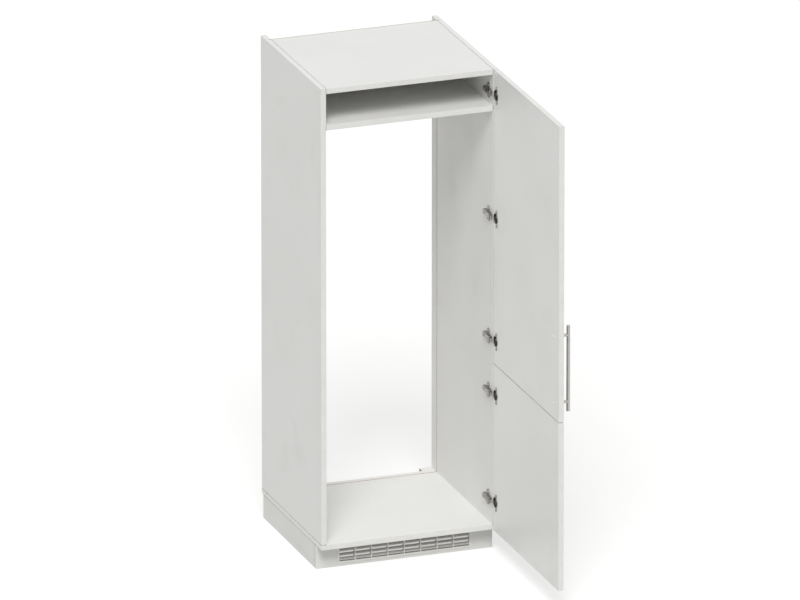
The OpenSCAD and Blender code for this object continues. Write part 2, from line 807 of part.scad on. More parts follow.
module upper_door() {
  color(door_c) swung() difference() {
    door_board(upper_z, upper_door_h, upper_hinges);
    handle_screw_places() shank_hole(screw_d, door_t + cut);
  }
}

module lower_door() { color(door_c) swung() door_board(lower_z, lower_door_h, lower_hinges); }
module upper_door_edging() { door_edging(upper_z, upper_door_h); }
module lower_door_edging() { door_edging(lower_z, lower_door_h); }

// handle, drawn closed

module handle_screw_places() {
  for (z = post_z) translate([bar_x, door_back_y, z]) rotate([-90, 0, 0]) children();
}

module bar_solid() {
  translate([bar_x, bar_y, bar_z + bar_chamfer]) cylinder(d = bar_d, h = bar_len - 2 * bar_chamfer);
  translate([bar_x, bar_y, bar_z])
    cylinder(d1 = bar_d - 2 * bar_chamfer, d2 = bar_d, h = bar_chamfer);
  translate([bar_x, bar_y, bar_z + bar_len - bar_chamfer])
    cylinder(d1 = bar_d, d2 = bar_d - 2 * bar_chamfer, h = bar_chamfer);
}

module handle_bar() { color(bright_c) swung() bar_solid(); }

module handle_posts() {
  color(bright_c) swung() difference() {
    for (z = post_z) translate([bar_x, door_front_y, z]) rotate([90, 0, 0])
      cylinder(d = post_d, h = bar_standoff);
    bar_solid();
    handle_screw_places() shank_hole(screw_d, door_t + handle_screw_reach);
  }
}

module handle_screws() {
  color(zinc_c) swung() handle_screw_places()
    screw(screw_d, door_t + handle_screw_reach, screw_head_d, screw_head_h);
}

side_left();
side_right();
base_panel();
top_panel();
fixed_shelf();
upper_back();
side_left_edging();
side_right_edging();
base_edging();
top_edging();
shelf_edging();
plinth_front();
plinth_left();
plinth_right();
plinth_rear_rail();
plinth_blocks();
plinth_screws();
vent_grille();
carcass_dowels();
cam_housings();
cam_bolts();
base_screws();
back_pins();
hinge_plate_1();
hinge_plate_2();
hinge_plate_3();
hinge_plate_4();
hinge_plate_5();
hinge_arm_1();
hinge_arm_2();
hinge_arm_3();
hinge_arm_4();
hinge_arm_5();
plate_screws();
arm_screws();
upper_door();
upper_door_edging();
hinge_cup_1();
hinge_cup_2();
hinge_cup_3();
hinge_pin_1();
hinge_pin_2();
hinge_pin_3();
upper_cup_screws();
handle_bar();
handle_posts();
handle_screws();
lower_door();
lower_door_edging();
hinge_cup_4();
hinge_cup_5();
hinge_pin_4();
hinge_pin_5();
lower_cup_screws();
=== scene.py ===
# %% [markdown]
# # A tall refrigerator housing
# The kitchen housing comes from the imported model: boards, plinth, grille, hinges and two doors,
# each with its place already in its mesh. This lesson dresses it: it replaces the pieces whose
# edges or stampings matter to the eye, gives every piece a finish, and lights the whole.
# The startup file may hold a cube and a lamp, so the scene is emptied before the model is read.

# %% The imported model
import json
import math
import bpy
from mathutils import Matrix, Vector

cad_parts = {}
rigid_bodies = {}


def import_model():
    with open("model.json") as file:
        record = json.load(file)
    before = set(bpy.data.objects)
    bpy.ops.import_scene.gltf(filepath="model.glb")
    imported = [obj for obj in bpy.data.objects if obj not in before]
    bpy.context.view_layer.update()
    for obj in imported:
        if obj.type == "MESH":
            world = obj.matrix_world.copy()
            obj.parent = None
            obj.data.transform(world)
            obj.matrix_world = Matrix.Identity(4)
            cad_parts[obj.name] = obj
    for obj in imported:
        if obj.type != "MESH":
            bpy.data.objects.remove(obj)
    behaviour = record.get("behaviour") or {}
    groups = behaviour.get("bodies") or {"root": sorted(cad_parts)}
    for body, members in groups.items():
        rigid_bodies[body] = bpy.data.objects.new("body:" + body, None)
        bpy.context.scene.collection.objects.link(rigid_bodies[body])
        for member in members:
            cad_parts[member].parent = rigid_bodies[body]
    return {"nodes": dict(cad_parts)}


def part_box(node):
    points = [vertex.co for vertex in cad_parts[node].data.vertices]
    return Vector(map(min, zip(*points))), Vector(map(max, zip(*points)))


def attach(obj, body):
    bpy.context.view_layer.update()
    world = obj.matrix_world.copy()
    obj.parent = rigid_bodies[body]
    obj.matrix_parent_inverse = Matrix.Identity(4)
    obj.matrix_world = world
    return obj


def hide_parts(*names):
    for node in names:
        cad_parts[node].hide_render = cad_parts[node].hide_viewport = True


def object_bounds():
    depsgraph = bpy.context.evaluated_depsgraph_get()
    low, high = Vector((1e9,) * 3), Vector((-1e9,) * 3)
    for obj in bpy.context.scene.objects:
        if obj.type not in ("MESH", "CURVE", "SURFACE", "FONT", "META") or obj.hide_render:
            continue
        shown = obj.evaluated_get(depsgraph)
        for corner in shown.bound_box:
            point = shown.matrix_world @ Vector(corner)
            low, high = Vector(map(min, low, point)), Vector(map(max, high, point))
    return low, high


for leftover in list(bpy.data.objects):
    bpy.data.objects.remove(leftover)
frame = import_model()
nodes = frame["nodes"]
cad_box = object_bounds()
print("nodes:", len(nodes), "box:", [[round(v, 4) for v in corner] for corner in cad_box])

# %% [markdown]
# ## Camera
# The picture of the housing is a parallel projection, seen from 19.9 degrees to the left and
# 19.5 degrees above. A very long lens from far away comes close to that and still lets other
# views move the camera back and forth. Its aim is set so that the frame's origin, the point on
# the floor under the plinth, falls on the right pixel of an 800 by 600 picture.

# %% Camera far away, with a long lens
AZIMUTH, ELEVATION = math.radians(-19.9), math.radians(19.5)
LENS_MM, SENSOR_MM, PICTURE_W, PICTURE_H = 800.0, 36.0, 800, 600
PIXELS_PER_METRE = 313.7
ORIGIN_PIXEL = (403.4, 558.7)
out = Vector((math.sin(AZIMUTH) * math.cos(ELEVATION), -math.cos(AZIMUTH) * math.cos(ELEVATION),
              math.sin(ELEVATION)))
right = Vector((math.cos(AZIMUTH), math.sin(AZIMUTH), 0))
up = out.cross(right)
aim = right * (PICTURE_W / 2 - ORIGIN_PIXEL[0]) + up * (ORIGIN_PIXEL[1] - PICTURE_H / 2)
aim /= PIXELS_PER_METRE
aim += out * out.dot((cad_box[0] + cad_box[1]) / 2)
distance = LENS_MM / SENSOR_MM * PICTURE_W / PIXELS_PER_METRE

camera_data = bpy.data.cameras.new("portrait_camera")
camera_data.lens, camera_data.sensor_width = LENS_MM, SENSOR_MM
camera_data.clip_start, camera_data.clip_end = 1.0, 400.0
camera = bpy.data.objects.new("portrait_camera", camera_data)
bpy.context.scene.collection.objects.link(camera)
camera.location = aim + out * distance
camera.rotation_euler = (-out).to_track_quat("-Z", "Y").to_euler()
bpy.context.scene.camera = camera
print("camera distance in metres:", round(distance, 2))

# %% [markdown]
# ## Light and floor
# White furniture on white needs its sides told apart by tone alone. A wide soft lamp stands in
# front, above and a little to the left, so fronts and tops are bright and the left-facing sides
# one step darker. The sky gives the rest. The camera sees the floor a little brighter than the
# lamps make it, so that it runs into the white background and still keeps a soft shadow.

# %% Colours are written as sRGB hex and turned into linear values here
def colour(hex_text):
    parts = [int(hex_text[i:i + 2], 16) / 255 for i in (1, 3, 5)]
    return [c / 12.92 if c <= 0.04045 else ((c + 0.055) / 1.055) ** 2.4 for c in parts] + [1.0]


def add(tree, kind, links=None, **settings):
    """One shader node: settings are its properties, links its inputs (a value or another socket)."""
    node = tree.nodes.new(kind)
    for key, value in settings.items():
        setattr(node, key, value)
    for key, value in (links or {}).items():
        if isinstance(value, bpy.types.NodeSocket):
            tree.links.new(value, node.inputs[key])
        else:
            node.inputs[key].default_value = value
    return node


# %% Sky: white to the camera and in reflections, a softer grey as a lamp
SKY_LIGHT = 0.46
world = bpy.data.worlds.new("studio_sky")
bpy.context.scene.world = world
world.use_nodes = True
sky = world.node_tree
sky.nodes.clear()
path = add(sky, "ShaderNodeLightPath")
seen = add(sky, "ShaderNodeMath", {0: path.outputs["Is Camera Ray"], 1: path.outputs["Is Glossy Ray"]},
           operation="MAXIMUM")
seen = add(sky, "ShaderNodeMath", {0: seen.outputs[0], 1: path.outputs["Is Transmission Ray"]},
           operation="MAXIMUM")
strength = add(sky, "ShaderNodeMapRange", {"Value": seen.outputs[0], "To Min": SKY_LIGHT, "To Max": 1.0})
shine = add(sky, "ShaderNodeBackground", {"Color": colour("#FFFFFF"), "Strength": strength.outputs[0]})
add(sky, "ShaderNodeOutputWorld", {"Surface": shine.outputs[0]})
print("sky strength:", SKY_LIGHT)

# %% Lamps
def aimed(made, place, target):
    made.location = place
    made.rotation_euler = (Vector(target) - Vector(place)).to_track_quat("-Z", "Y").to_euler()
    bpy.context.scene.collection.objects.link(made)
    return made


def soft_box(name, place, target, size, watts):
    data = bpy.data.lights.new(name, "AREA")
    data.shape, data.size, data.energy = "SQUARE", size, watts
    return aimed(bpy.data.objects.new(name, data), place, target)


# the key lamp stands for a very large, far soft box: the same light everywhere, with soft shadows
key_data = bpy.data.lights.new("key_lamp", "SUN")
key_data.energy, key_data.angle = 1.9, math.radians(26)
key_lamp = aimed(bpy.data.objects.new("key_lamp", key_data), (-2.5, -6.0, 8.4), (0, 0, 0.8))
side_lamp = soft_box("side_lamp", (-6.0, -0.5, 2.6), (0, 0, 0.9), 3.0, 12)
print("lamps:", [o.name for o in (key_lamp, side_lamp)])

# %% Floor: real paint to the light, lifted towards white for the camera
bpy.ops.mesh.primitive_plane_add(size=80, location=(0, 0, 0))
floor = bpy.context.active_object
floor.name = "studio_floor"
floor_paint = bpy.data.materials.new("pale_studio_floor")
floor_paint.use_nodes = True
paint = floor_paint.node_tree
paint.nodes.clear()
floor_path = add(paint, "ShaderNodeLightPath")
floor_seen = add(paint, "ShaderNodeMath", {0: floor_path.outputs["Is Camera Ray"],
                                           1: floor_path.outputs["Is Glossy Ray"]}, operation="MAXIMUM")
matt = add(paint, "ShaderNodeBsdfDiffuse", {"Color": colour("#C9C9C7")})
seen_matt = add(paint, "ShaderNodeBsdfDiffuse", {"Color": colour("#BEBEBD")})
lift = add(paint, "ShaderNodeEmission", {"Color": colour("#FFFFFF"), "Strength": 0.56})
seen_floor = add(paint, "ShaderNodeAddShader", {0: seen_matt.outputs[0], 1: lift.outputs[0]})
floor_mix = add(paint, "ShaderNodeMixShader", {0: floor_seen.outputs[0], 1: matt.outputs[0],
                                               2: seen_floor.outputs[0]})
add(paint, "ShaderNodeOutputMaterial", {"Surface": floor_mix.outputs[0]})
floor.data.materials.append(floor_paint)

view = bpy.context.scene.view_settings
view.view_transform = "Standard"

# %% [markdown]
# ## Tools for the finishes
# Every finish reads Object coordinates. They are metres of the real thing and go with a piece
# when its door swings. So a pattern's size is simply written in millimetres, and a mask such as
# "the last 0.2 mm at the rear" picks out a sawn edge.

# %% A material, its links, and the model's nodes that wear it
def finish_tree(name, rough, metallic=0.0):
    """A new material with its Principled shader and the piece's own coordinates."""
    material = bpy.data.materials.new(name)
    material.use_nodes = True
    tree = material.node_tree
    shader = tree.nodes["Principled BSDF"]
    shader.inputs["Roughness"].default_value = rough
    shader.inputs["Metallic"].default_value = metallic
    spot = add(tree, "ShaderNodeTexCoord").outputs["Object"]
    return material, tree, shader, spot


def wire(tree, shader, **parts):
    """Links the parts of a look, such as Base_Color and Normal, into the shader."""
    for socket, value in parts.items():
        tree.links.new(value, shader.inputs[socket.replace("_", " ")])


def dress(material, *names):
    """Gives nodes of the model a finish."""
    for name in names:
        nodes[name].material_slots[0].material = material


# %% Numbers, noise, colours and relief
def math_of(tree, operation, a, b=0.0):
    return add(tree, "ShaderNodeMath", {0: a, 1: b}, operation=operation).outputs[0]


def noise(tree, spot, size_mm, detail=2.0, roughness=0.5, stretch=(1, 1, 1)):
    """Noise whose blotches are about size_mm across, stretched along an axis where asked."""
    placed = add(tree, "ShaderNodeMapping", {"Vector": spot, "Scale": [1 / s for s in stretch]})
    made = add(tree, "ShaderNodeTexNoise", {"Vector": placed.outputs[0], "Scale": 1000 / size_mm,
                                            "Detail": detail, "Roughness": roughness})
    return made.outputs["Fac"]


def span_of(tree, value, low, high, to_low, to_high):
    """Maps low..high to to_low..to_high and holds the ends."""
    return add(tree, "ShaderNodeMapRange", {"Value": value, "From Min": low, "From Max": high,
                                            "To Min": to_low, "To Max": to_high}).outputs[0]


def mixed(tree, share, first, second):
    """The first colour where share is 0, and the second where it is 1."""
    return add(tree, "ShaderNodeMix", {0: share, 6: first, 7: second}, data_type="RGBA").outputs[2]


def relief(tree, height, depth_mm, strength, under=None):
    """Bump: height 0..1 stands for depth_mm."""
    links = {"Height": height, "Distance": depth_mm / 1000, "Strength": strength}
    if under is not None:
        links["Normal"] = under
    return add(tree, "ShaderNodeBump", links).outputs[0]


# %% Masks by position
def axes(tree, spot):
    return add(tree, "ShaderNodeSeparateXYZ", {0: spot}).outputs


def above(tree, value, limit):
    return math_of(tree, "GREATER_THAN", value, limit)


def below(tree, value, limit):
    return math_of(tree, "LESS_THAN", value, limit)


def both(tree, first, *others):
    """1 where all the masks are."""
    for other in others:
        first = math_of(tree, "MULTIPLY", first, other)
    return first


def either(tree, first, *others):
    """1 where any of the masks is."""
    for other in others:
        first = math_of(tree, "MAXIMUM", first, other)
    return first


def within(tree, value, low, high):
    return both(tree, above(tree, value, low), below(tree, value, high))


def off(tree, value, place):
    """How far the value is from the place, to either side."""
    return math_of(tree, "ABSOLUTE", math_of(tree, "SUBTRACT", value, place))


def near(tree, value, place, reach):
    """1 where the value is within reach of the place."""
    return below(tree, off(tree, value, place), reach)


# %% [markdown]
# ## White faced particle board
# The carcass boards are particle board pressed between white resin papers. The paper has a fine
# pearl texture that breaks up reflections, and years of hands and cloths leave patches that
# shine a little more or less. The factory bands the front edges only: at the rear, in the grooves
# and in the air cut-out the saw shows bare chips, coarse in the middle and fine near the faces.
# The masks below name those places by position, because a mask in millimetres is exact.

# %% Bare chips, as a colour and a height
FLAKE_MM, SAWDUST_MM, PORE_MM = 3.4, 1.3, 1.6
CORE_FROM, CORE_TO = 0.0050, 0.0066


def chips(tree, spot, depth):
    """Sawn particle board. depth is the distance from the middle of the board's thickness."""
    flakes = add(tree, "ShaderNodeTexVoronoi", {"Vector": spot, "Scale": 1000 / FLAKE_MM})
    fine = add(tree, "ShaderNodeTexVoronoi", {"Vector": spot, "Scale": 1000 / SAWDUST_MM})
    tone = add(tree, "ShaderNodeSeparateColor", {0: flakes.outputs["Color"]}).outputs[0]
    fine_tone = add(tree, "ShaderNodeSeparateColor", {0: fine.outputs["Color"]}).outputs[0]
    coarse = mixed(tree, tone, colour("#B58C57"), colour("#DDBE8C"))
    coarse = mixed(tree, math_of(tree, "MULTIPLY", fine_tone, 0.45), coarse, colour("#8F6A3E"))
    # the outer 3 mm are pressed from sawdust: finer, denser and a little darker
    dense = mixed(tree, fine_tone, colour("#AE8B5C"), colour("#C9A978"))
    core = span_of(tree, depth, CORE_FROM, CORE_TO, 1.0, 0.0)
    wood = mixed(tree, core, dense, coarse)
    pores = both(tree, span_of(tree, noise(tree, spot, PORE_MM, 3.0, 0.6), 0.56, 0.66, 0.0, 1.0), core)
    wood = mixed(tree, math_of(tree, "MULTIPLY", pores, 0.55), wood, colour("#4E3A22"))
    return wood, math_of(tree, "SUBTRACT", fine_tone, pores)


# %% How deep in the board a point lies
side_lo, side_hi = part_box("side_right")
base_lo, base_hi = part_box("base_panel")


def mid_depth(tree, x, z):
    """Distance from the middle of an upright side board, or of the base board below it."""
    across = off(tree, math_of(tree, "ABSOLUTE", x), (side_lo.x + side_hi.x) / 2)
    level = off(tree, z, (base_lo.z + base_hi.z) / 2)
    in_base = within(tree, z, base_lo.z, base_hi.z)
    return span_of(tree, in_base, 0.0, 1.0, across, level)


# %% A joint line, where two boards meet flush
SEAM_HEX, SEAM = "#48443D", 0.0006


def joint_line(tree, spot, mask, face, gloss):
    """Dust and shadow in a joint: darker in some places than in others."""
    uneven = span_of(tree, noise(tree, spot, 35, 3.0, 0.6), 0.35, 0.65, 0.8, 1.0)
    mask = both(tree, mask, uneven)
    return mixed(tree, mask, face, colour(SEAM_HEX)), span_of(tree, mask, 0.0, 1.0, gloss, 0.9)


# %% The board itself
def faced_board(name, face_hex, rough, bare=None, shade_hex="#DFDEDB", grain_mm=1.4, seam=None):
    """White resin-faced board. bare and seam return masks of the sawn places and the joint lines."""
    material, tree, shader, spot = finish_tree(name, rough)
    x, y, z = axes(tree, spot)
    # the paper is not quite even: slow drifts of tone, a hand wide and more
    drift = span_of(tree, noise(tree, spot, 420, 3.0), 0.35, 0.65, 0.0, 0.22)
    face = mixed(tree, drift, colour(face_hex), colour(shade_hex))
    # wiped patches and a few rubbed streaks change the gloss more than the colour
    wiped = noise(tree, spot, 130, 4.0, 0.6, stretch=(1, 1, 1.8))
    streaks = span_of(tree, noise(tree, spot, 9, 2.0, 0.5, stretch=(1, 14, 14)), 0.62, 0.74, 0.0, 1.0)
    face = mixed(tree, math_of(tree, "MULTIPLY", streaks, 0.05), face, colour("#B9B6AE"))
    # specks of dust and the odd pinhole
    specks = span_of(tree, noise(tree, spot, 3.5, 1.0), 0.76, 0.82, 0.0, 0.10)
    face = mixed(tree, specks, face, colour("#A8A49B"))
    gloss = span_of(tree, wiped, 0.3, 0.7, rough - 0.07, rough + 0.07)
    gloss = math_of(tree, "ADD", gloss, math_of(tree, "MULTIPLY", streaks, 0.10))
    # the pearl texture of the press plate; the real one is 0.3 mm, drawn coarser so it can be seen
    pearl = noise(tree, spot, grain_mm, 2.0, 0.45)
    bumped = relief(tree, pearl, 0.05, 0.35)
    if bare is not None:
        mask = bare(tree, x, y, z)
        wood, height = chips(tree, spot, mid_depth(tree, x, z))
        face = mixed(tree, mask, face, wood)
        gloss = span_of(tree, mask, 0.0, 1.0, gloss, 0.88)
        bumped = relief(tree, both(tree, height, mask), 0.35, 0.6, bumped)
    if seam is not None:
        face, gloss = joint_line(tree, spot, seam(tree, x, y, z), face, gloss)
    wire(tree, shader, Base_Color=face, Roughness=gloss, Normal=bumped)
    return material


# %% Where the carcass is sawn bare
groove_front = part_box("upper_back")[0].y
# a mask reaches this far past the place that it marks
SLACK = 0.0002
GROOVE_W, GROOVE_DEEP = 0.0035, 0.007
CUT_X, CUT_Y = 0.240, base_hi.y - 0.026


def bare_carcass(tree, x, y, z):
    across = math_of(tree, "ABSOLUTE", x)
    rear = above(tree, y, side_hi.y - SLACK)
    in_groove = within(tree, y, groove_front - SLACK, groove_front + GROOVE_W + SLACK)
    in_side = within(tree, across, side_lo.x + SLACK, side_lo.x + GROOVE_DEEP + SLACK)
    in_base = below(tree, z, base_hi.z - SLACK)
    in_groove = both(tree, in_groove, either(tree, in_side, in_base),
                     above(tree, z, base_hi.z - GROOVE_DEEP - SLACK))
    cut_out = both(tree, above(tree, y, CUT_Y - SLACK), below(tree, across, CUT_X + SLACK),
                   below(tree, z, base_hi.z + SLACK))
    return either(tree, rear, in_groove, cut_out)


def bare_plinth(tree, x, y, z):
    rail_lo, rail_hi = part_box("plinth_rear_rail")
    under_rail = both(tree, above(tree, y, rail_lo.y - SLACK), below(tree, z, rail_lo.z + SLACK),
                      below(tree, math_of(tree, "ABSOLUTE", x), rail_hi.x - SLACK))
    under_boards = below(tree, z, SLACK / 4)
    side_ends = above(tree, y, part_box("plinth_left")[1].y - SLACK)
    return either(tree, under_rail, under_boards, side_ends)


# %% [markdown]
# Where two boards meet flush, a real unit shows a fine dark joint, about half a millimetre wide.
# It is drawn 1.2 mm wide here, so that it doesn't vanish at the size of the picture.

# %% Where the boards meet
def seam_carcass(tree, x, y, z):
    across = math_of(tree, "ABSOLUTE", x)
    outside = either(tree, above(tree, across, side_hi.x - SEAM), above(tree, y, side_hi.y - SEAM))
    on_plinth = both(tree, near(tree, z, base_lo.z, SEAM),
                     within(tree, y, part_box("plinth_front")[0].y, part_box("plinth_left")[1].y))
    at_base = both(tree, either(tree, near(tree, z, base_hi.z, SEAM), on_plinth), outside)
    at_top = both(tree, near(tree, across, side_lo.x, SEAM), above(tree, z, side_hi.z - SEAM),
                  below(tree, y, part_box("top_panel")[1].y))
    return either(tree, at_base, at_top)


def seam_plinth(tree, x, y, z):
    outside = above(tree, math_of(tree, "ABSOLUTE", x), side_hi.x - SEAM)
    butt = near(tree, y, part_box("plinth_front")[1].y, SEAM)
    return both(tree, outside, either(tree, butt, above(tree, z, base_lo.z - SEAM)))


carcass_board = faced_board("white_faced_particle_board", "#EDEDEB", 0.44, bare_carcass,
                            seam=seam_carcass)
door_face = faced_board("satin_white_door_face", "#F2F2F0", 0.38, None, "#E6E5E2", 1.8)
plinth_face = faced_board("white_plinth_board", "#E8E8E5", 0.48, bare_plinth, "#D6D4CF",
                          seam=seam_plinth)
dress(door_face, "upper_door", "lower_door")

# %% [markdown]
# ## Tools for the modelling
# New pieces are made as by hand: a primitive at its size and place, then edit mode. An operator
# acts on everything that is selected, and the import left the whole model selected, so each
# helper first clears the selection. Faces and edges are chosen in code, by where they lie.

# %% Choosing what to work on
def only(obj):
    bpy.ops.object.select_all(action="DESELECT")
    obj.select_set(True)
    bpy.context.view_layer.objects.active = obj


def choose(obj, kind, test):
    """Opens edit mode with only the faces, edges or vertices that pass the test selected."""
    only(obj)
    bpy.ops.object.mode_set(mode="EDIT")
    bpy.ops.mesh.select_mode(type=kind)
    bpy.ops.mesh.select_all(action="DESELECT")
    bpy.ops.object.mode_set(mode="OBJECT")
    mesh = obj.data
    if kind == "FACE":
        for face in mesh.polygons:
            face.select = test(face.center, face.normal)
    elif kind == "EDGE":
        for edge in mesh.edges:
            a, b = (mesh.vertices[i].co for i in edge.vertices)
            edge.select = test(a, b)
    else:
        for vertex in mesh.vertices:
            vertex.select = test(vertex.co)
    bpy.ops.object.mode_set(mode="EDIT")


def done():
    bpy.ops.object.mode_set(mode="OBJECT")


def choose_all(obj):
    """Opens edit mode with everything selected."""
    only(obj)
    bpy.ops.object.mode_set(mode="EDIT")
    bpy.ops.mesh.select_all(action="SELECT")


# %% Bevels, extrusions and the settled mesh
def bevel(width, segments=3, **settings):
    """Rounds the chosen edges and leaves edit mode."""
    bpy.ops.mesh.bevel(offset=width, offset_type="OFFSET", segments=segments, affect="EDGES", **settings)
    done()


def extrude(shift):
    """Pulls new walls out of the chosen faces and leaves their ends chosen."""
    bpy.ops.mesh.extrude_region_move(TRANSFORM_OT_translate={"value": shift})


def place_in_mesh(obj):
    """Moves an object's place, turn and size into its mesh."""
    only(obj)
    bpy.ops.object.transform_apply(location=True, rotation=True, scale=True)


def settle(obj, angle=40, flat=False):
    """Points the faces outwards and shades flat faces flat."""
    place_in_mesh(obj)
    choose_all(obj)
    bpy.ops.mesh.normals_make_consistent(inside=False)
    done()
    bpy.ops.object.shade_smooth_by_angle(angle=math.radians(angle))
    if flat:
        # the broad faces keep their own normals and only the small rounds are blended
        modify(obj, "WEIGHTED_NORMAL", weight=100, keep_sharp=True)
    return obj


# %% Blocks and rods, as a start for a piece
def block(name, lo, hi):
    """A box between two corners."""
    lo, hi = Vector(lo), Vector(hi)
    bpy.ops.mesh.primitive_cube_add(size=1, location=(lo + hi) / 2)
    made = bpy.context.active_object
    made.name = made.data.name = name
    made.scale = hi - lo
    place_in_mesh(made)
    return made


def rod(name, radius, start, end, sides=48):
    """A round bar between two points."""
    start, end = Vector(start), Vector(end)
    along = end - start
    bpy.ops.mesh.primitive_cylinder_add(vertices=sides, radius=radius, depth=along.length,
                                        location=(start + end) / 2)
    made = bpy.context.active_object
    made.name = made.data.name = name
    made.rotation_euler = along.to_track_quat("Z", "X").to_euler()
    place_in_mesh(made)
    return made


# %% Cutting and welding
def modify(obj, kind, **settings):
    """Adds a modifier and applies it."""
    only(obj)
    added = obj.modifiers.new(kind.lower(), kind)
    for key, value in settings.items():
        setattr(added, key, value)
    bpy.ops.object.modifier_apply(modifier=added.name)


def carve(obj, *tools):
    """Cuts the tools out of a piece and throws them away."""
    for tool in tools:
        modify(obj, "BOOLEAN", operation="DIFFERENCE", object=tool, solver="EXACT")
        bpy.data.objects.remove(tool)


def merge(obj, *others):
    """Welds other closed shapes onto a piece."""
    for other in others:
        modify(obj, "BOOLEAN", operation="UNION", object=other, solver="EXACT")
        bpy.data.objects.remove(other)


def knit(obj):
    """Joins points that a cut has left less than 0.02 mm apart."""
    choose_all(obj)
    bpy.ops.mesh.remove_doubles(threshold=0.00002)
    done()


# %% Copies and the finished piece
def twin(obj, name, shift):
    """A copy with its own mesh, moved in the mesh."""
    made = bpy.data.objects.new(name, obj.data.copy())
    made.data.name = name
    bpy.context.scene.collection.objects.link(made)
    made.location = shift
    place_in_mesh(made)
    return made


def together(name, objects):
    """Joins several objects into one."""
    bpy.ops.object.select_all(action="DESELECT")
    for o in objects:
        o.select_set(True)
    bpy.context.view_layer.objects.active = objects[0]
    if len(objects) > 1:
        bpy.ops.object.join()
    made = bpy.context.active_object
    made.name = made.data.name = name
    return made


def finish_piece(obj, material, slot, body, *stands_for):
    """Gives a piece its finish and its body, and hides the nodes that it stands for."""
    obj.data.materials.clear()
    obj.data.materials.append(material)
    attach(obj, body)
    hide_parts(*stands_for)
    print(obj.name, "faces:", len(obj.data.polygons))


# %% A merged copy of a CAD node
def merged_copy(node, name):
    """The node's loose triangles as one clean mesh, with flat areas as single faces."""
    made = bpy.data.objects.new(name, nodes[node].data.copy())
    made.data.name = name
    bpy.context.scene.collection.objects.link(made)
    only(made)
    bpy.ops.mesh.customdata_custom_splitnormals_clear()
    choose_all(made)
    bpy.ops.mesh.remove_doubles(threshold=0.000002)
    bpy.ops.mesh.dissolve_limited(angle_limit=math.radians(0.5))
    done()
    return made


def soften(obj, width_mm, segments):
    """Rounds every sharp edge of a stamping."""
    modify(obj, "BEVEL", width=width_mm / 1000, segments=segments, limit_method="ANGLE",
           angle_limit=math.radians(35), use_clamp_overlap=False, miter_outer="MITER_ARC")


# %% [markdown]
# ## Boards with broken edges
# The saw leaves an edge that would cut a finger, so it is broken with a file: about 0.3 mm. Each
# carcass and plinth board is a merged copy of the model's board, with its grooves and bores, and
# its outer edges are bevelled by that much. The front edges are left, since the bands cover them.

# %% Break the outer edges
BROKEN, ON_EDGE = 0.0003, 2e-6


def in_plane(a, b, axis, place):
    """Whether both ends of an edge have this place on an axis."""
    return abs(a[axis] - place) < ON_EDGE and abs(b[axis] - place) < ON_EDGE


def broken_board(node, material, slot, banded):
    """A board whose outer edges are broken, apart from its front edges where it is banded."""
    lo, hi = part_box(node)
    made = merged_copy(node, "board_" + node)

    def outer(a, b):
        held = [i for i in range(3) for end in (lo, hi) if in_plane(a, b, i, end[i])]
        under_band = banded and in_plane(a, b, 1, lo.y)
        return len(held) == 2 and not under_band and (a - b).length > 4 * BROKEN

    choose(made, "EDGE", outer)
    bevel(BROKEN, 2, clamp_overlap=False)
    settle(made, 60, flat=True)
    finish_piece(made, material, slot, "carcass", node)


for name in ("side_left", "side_right", "base_panel", "top_panel", "fixed_shelf"):
    broken_board(name, carcass_board, "white_board", True)
for name in ("plinth_front", "plinth_left", "plinth_right", "plinth_rear_rail"):
    broken_board(name, plinth_face, "plinth_board", False)

# %% [markdown]
# ## Edge banding
# The visible edges carry a plastic band, one millimetre thick, glued on hot and then rounded by
# a cutter. Light catches that small round, which is what makes furniture edges look finished, so
# each band is a box whose outer corners are bevelled. A thin grey glue line shows where the band
# meets the board.

# %% Band material
def band_material(name, hex_text, glue_mask, seam=None):
    material, tree, shader, spot = finish_tree(name, 0.4)
    x, y, z = axes(tree, spot)
    tone = span_of(tree, noise(tree, spot, 60, 3.0, 0.5), 0.35, 0.65, 0.0, 0.35)
    face = mixed(tree, tone, colour(hex_text), colour("#DEDDD9"))
    # fine upright marks left by the cutter and the scraper
    drag = noise(tree, spot, 1.2, 2.0, 0.5, stretch=(1, 1, 30))
    # rubbed spots, where hands and baskets pass
    rubbed = span_of(tree, noise(tree, spot, 24, 4.0, 0.65), 0.60, 0.72, 0.0, 0.16)
    face = mixed(tree, rubbed, face, colour("#C4C1B8"))
    face = mixed(tree, math_of(tree, "MULTIPLY", glue_mask(tree, x, y, z), 0.8), face, colour("#8E8A80"))
    gloss = math_of(tree, "ADD", span_of(tree, drag, 0.3, 0.7, 0.34, 0.46),
                    math_of(tree, "MULTIPLY", rubbed, 0.5))
    if seam is not None:
        face, gloss = joint_line(tree, spot, seam(tree, x, y, z), face, gloss)
    wire(tree, shader, Base_Color=face, Roughness=gloss, Normal=relief(tree, drag, 0.03, 0.35))
    return material


# %% Where the bands butt, and where their glue shows
GLUE = 0.00025


def seam_bands(tree, x, y, z):
    """The bands' butt joints: side on base, and top and shelf between the sides."""
    across = math_of(tree, "ABSOLUTE", x)
    at_base = both(tree, near(tree, z, base_hi.z, SEAM), above(tree, across, side_lo.x - SEAM))
    in_shelf = near(tree, z, sum(p.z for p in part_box("fixed_shelf")) / 2, (base_hi.z - base_lo.z) / 2)
    in_top = above(tree, z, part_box("top_panel")[0].z)
    at_side = near(tree, across, side_lo.x, SEAM)
    return either(tree, at_base, both(tree, at_side, either(tree, in_shelf, in_top)))


def glue_bands(tree, x, y, z):
    return above(tree, y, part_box("base_edging")[1].y - GLUE)


carcass_band = band_material("carcass_edge_band", "#EAEAE7", glue_bands, seam_bands)

# %% Bands on the carcass fronts
ROUND = 0.0007


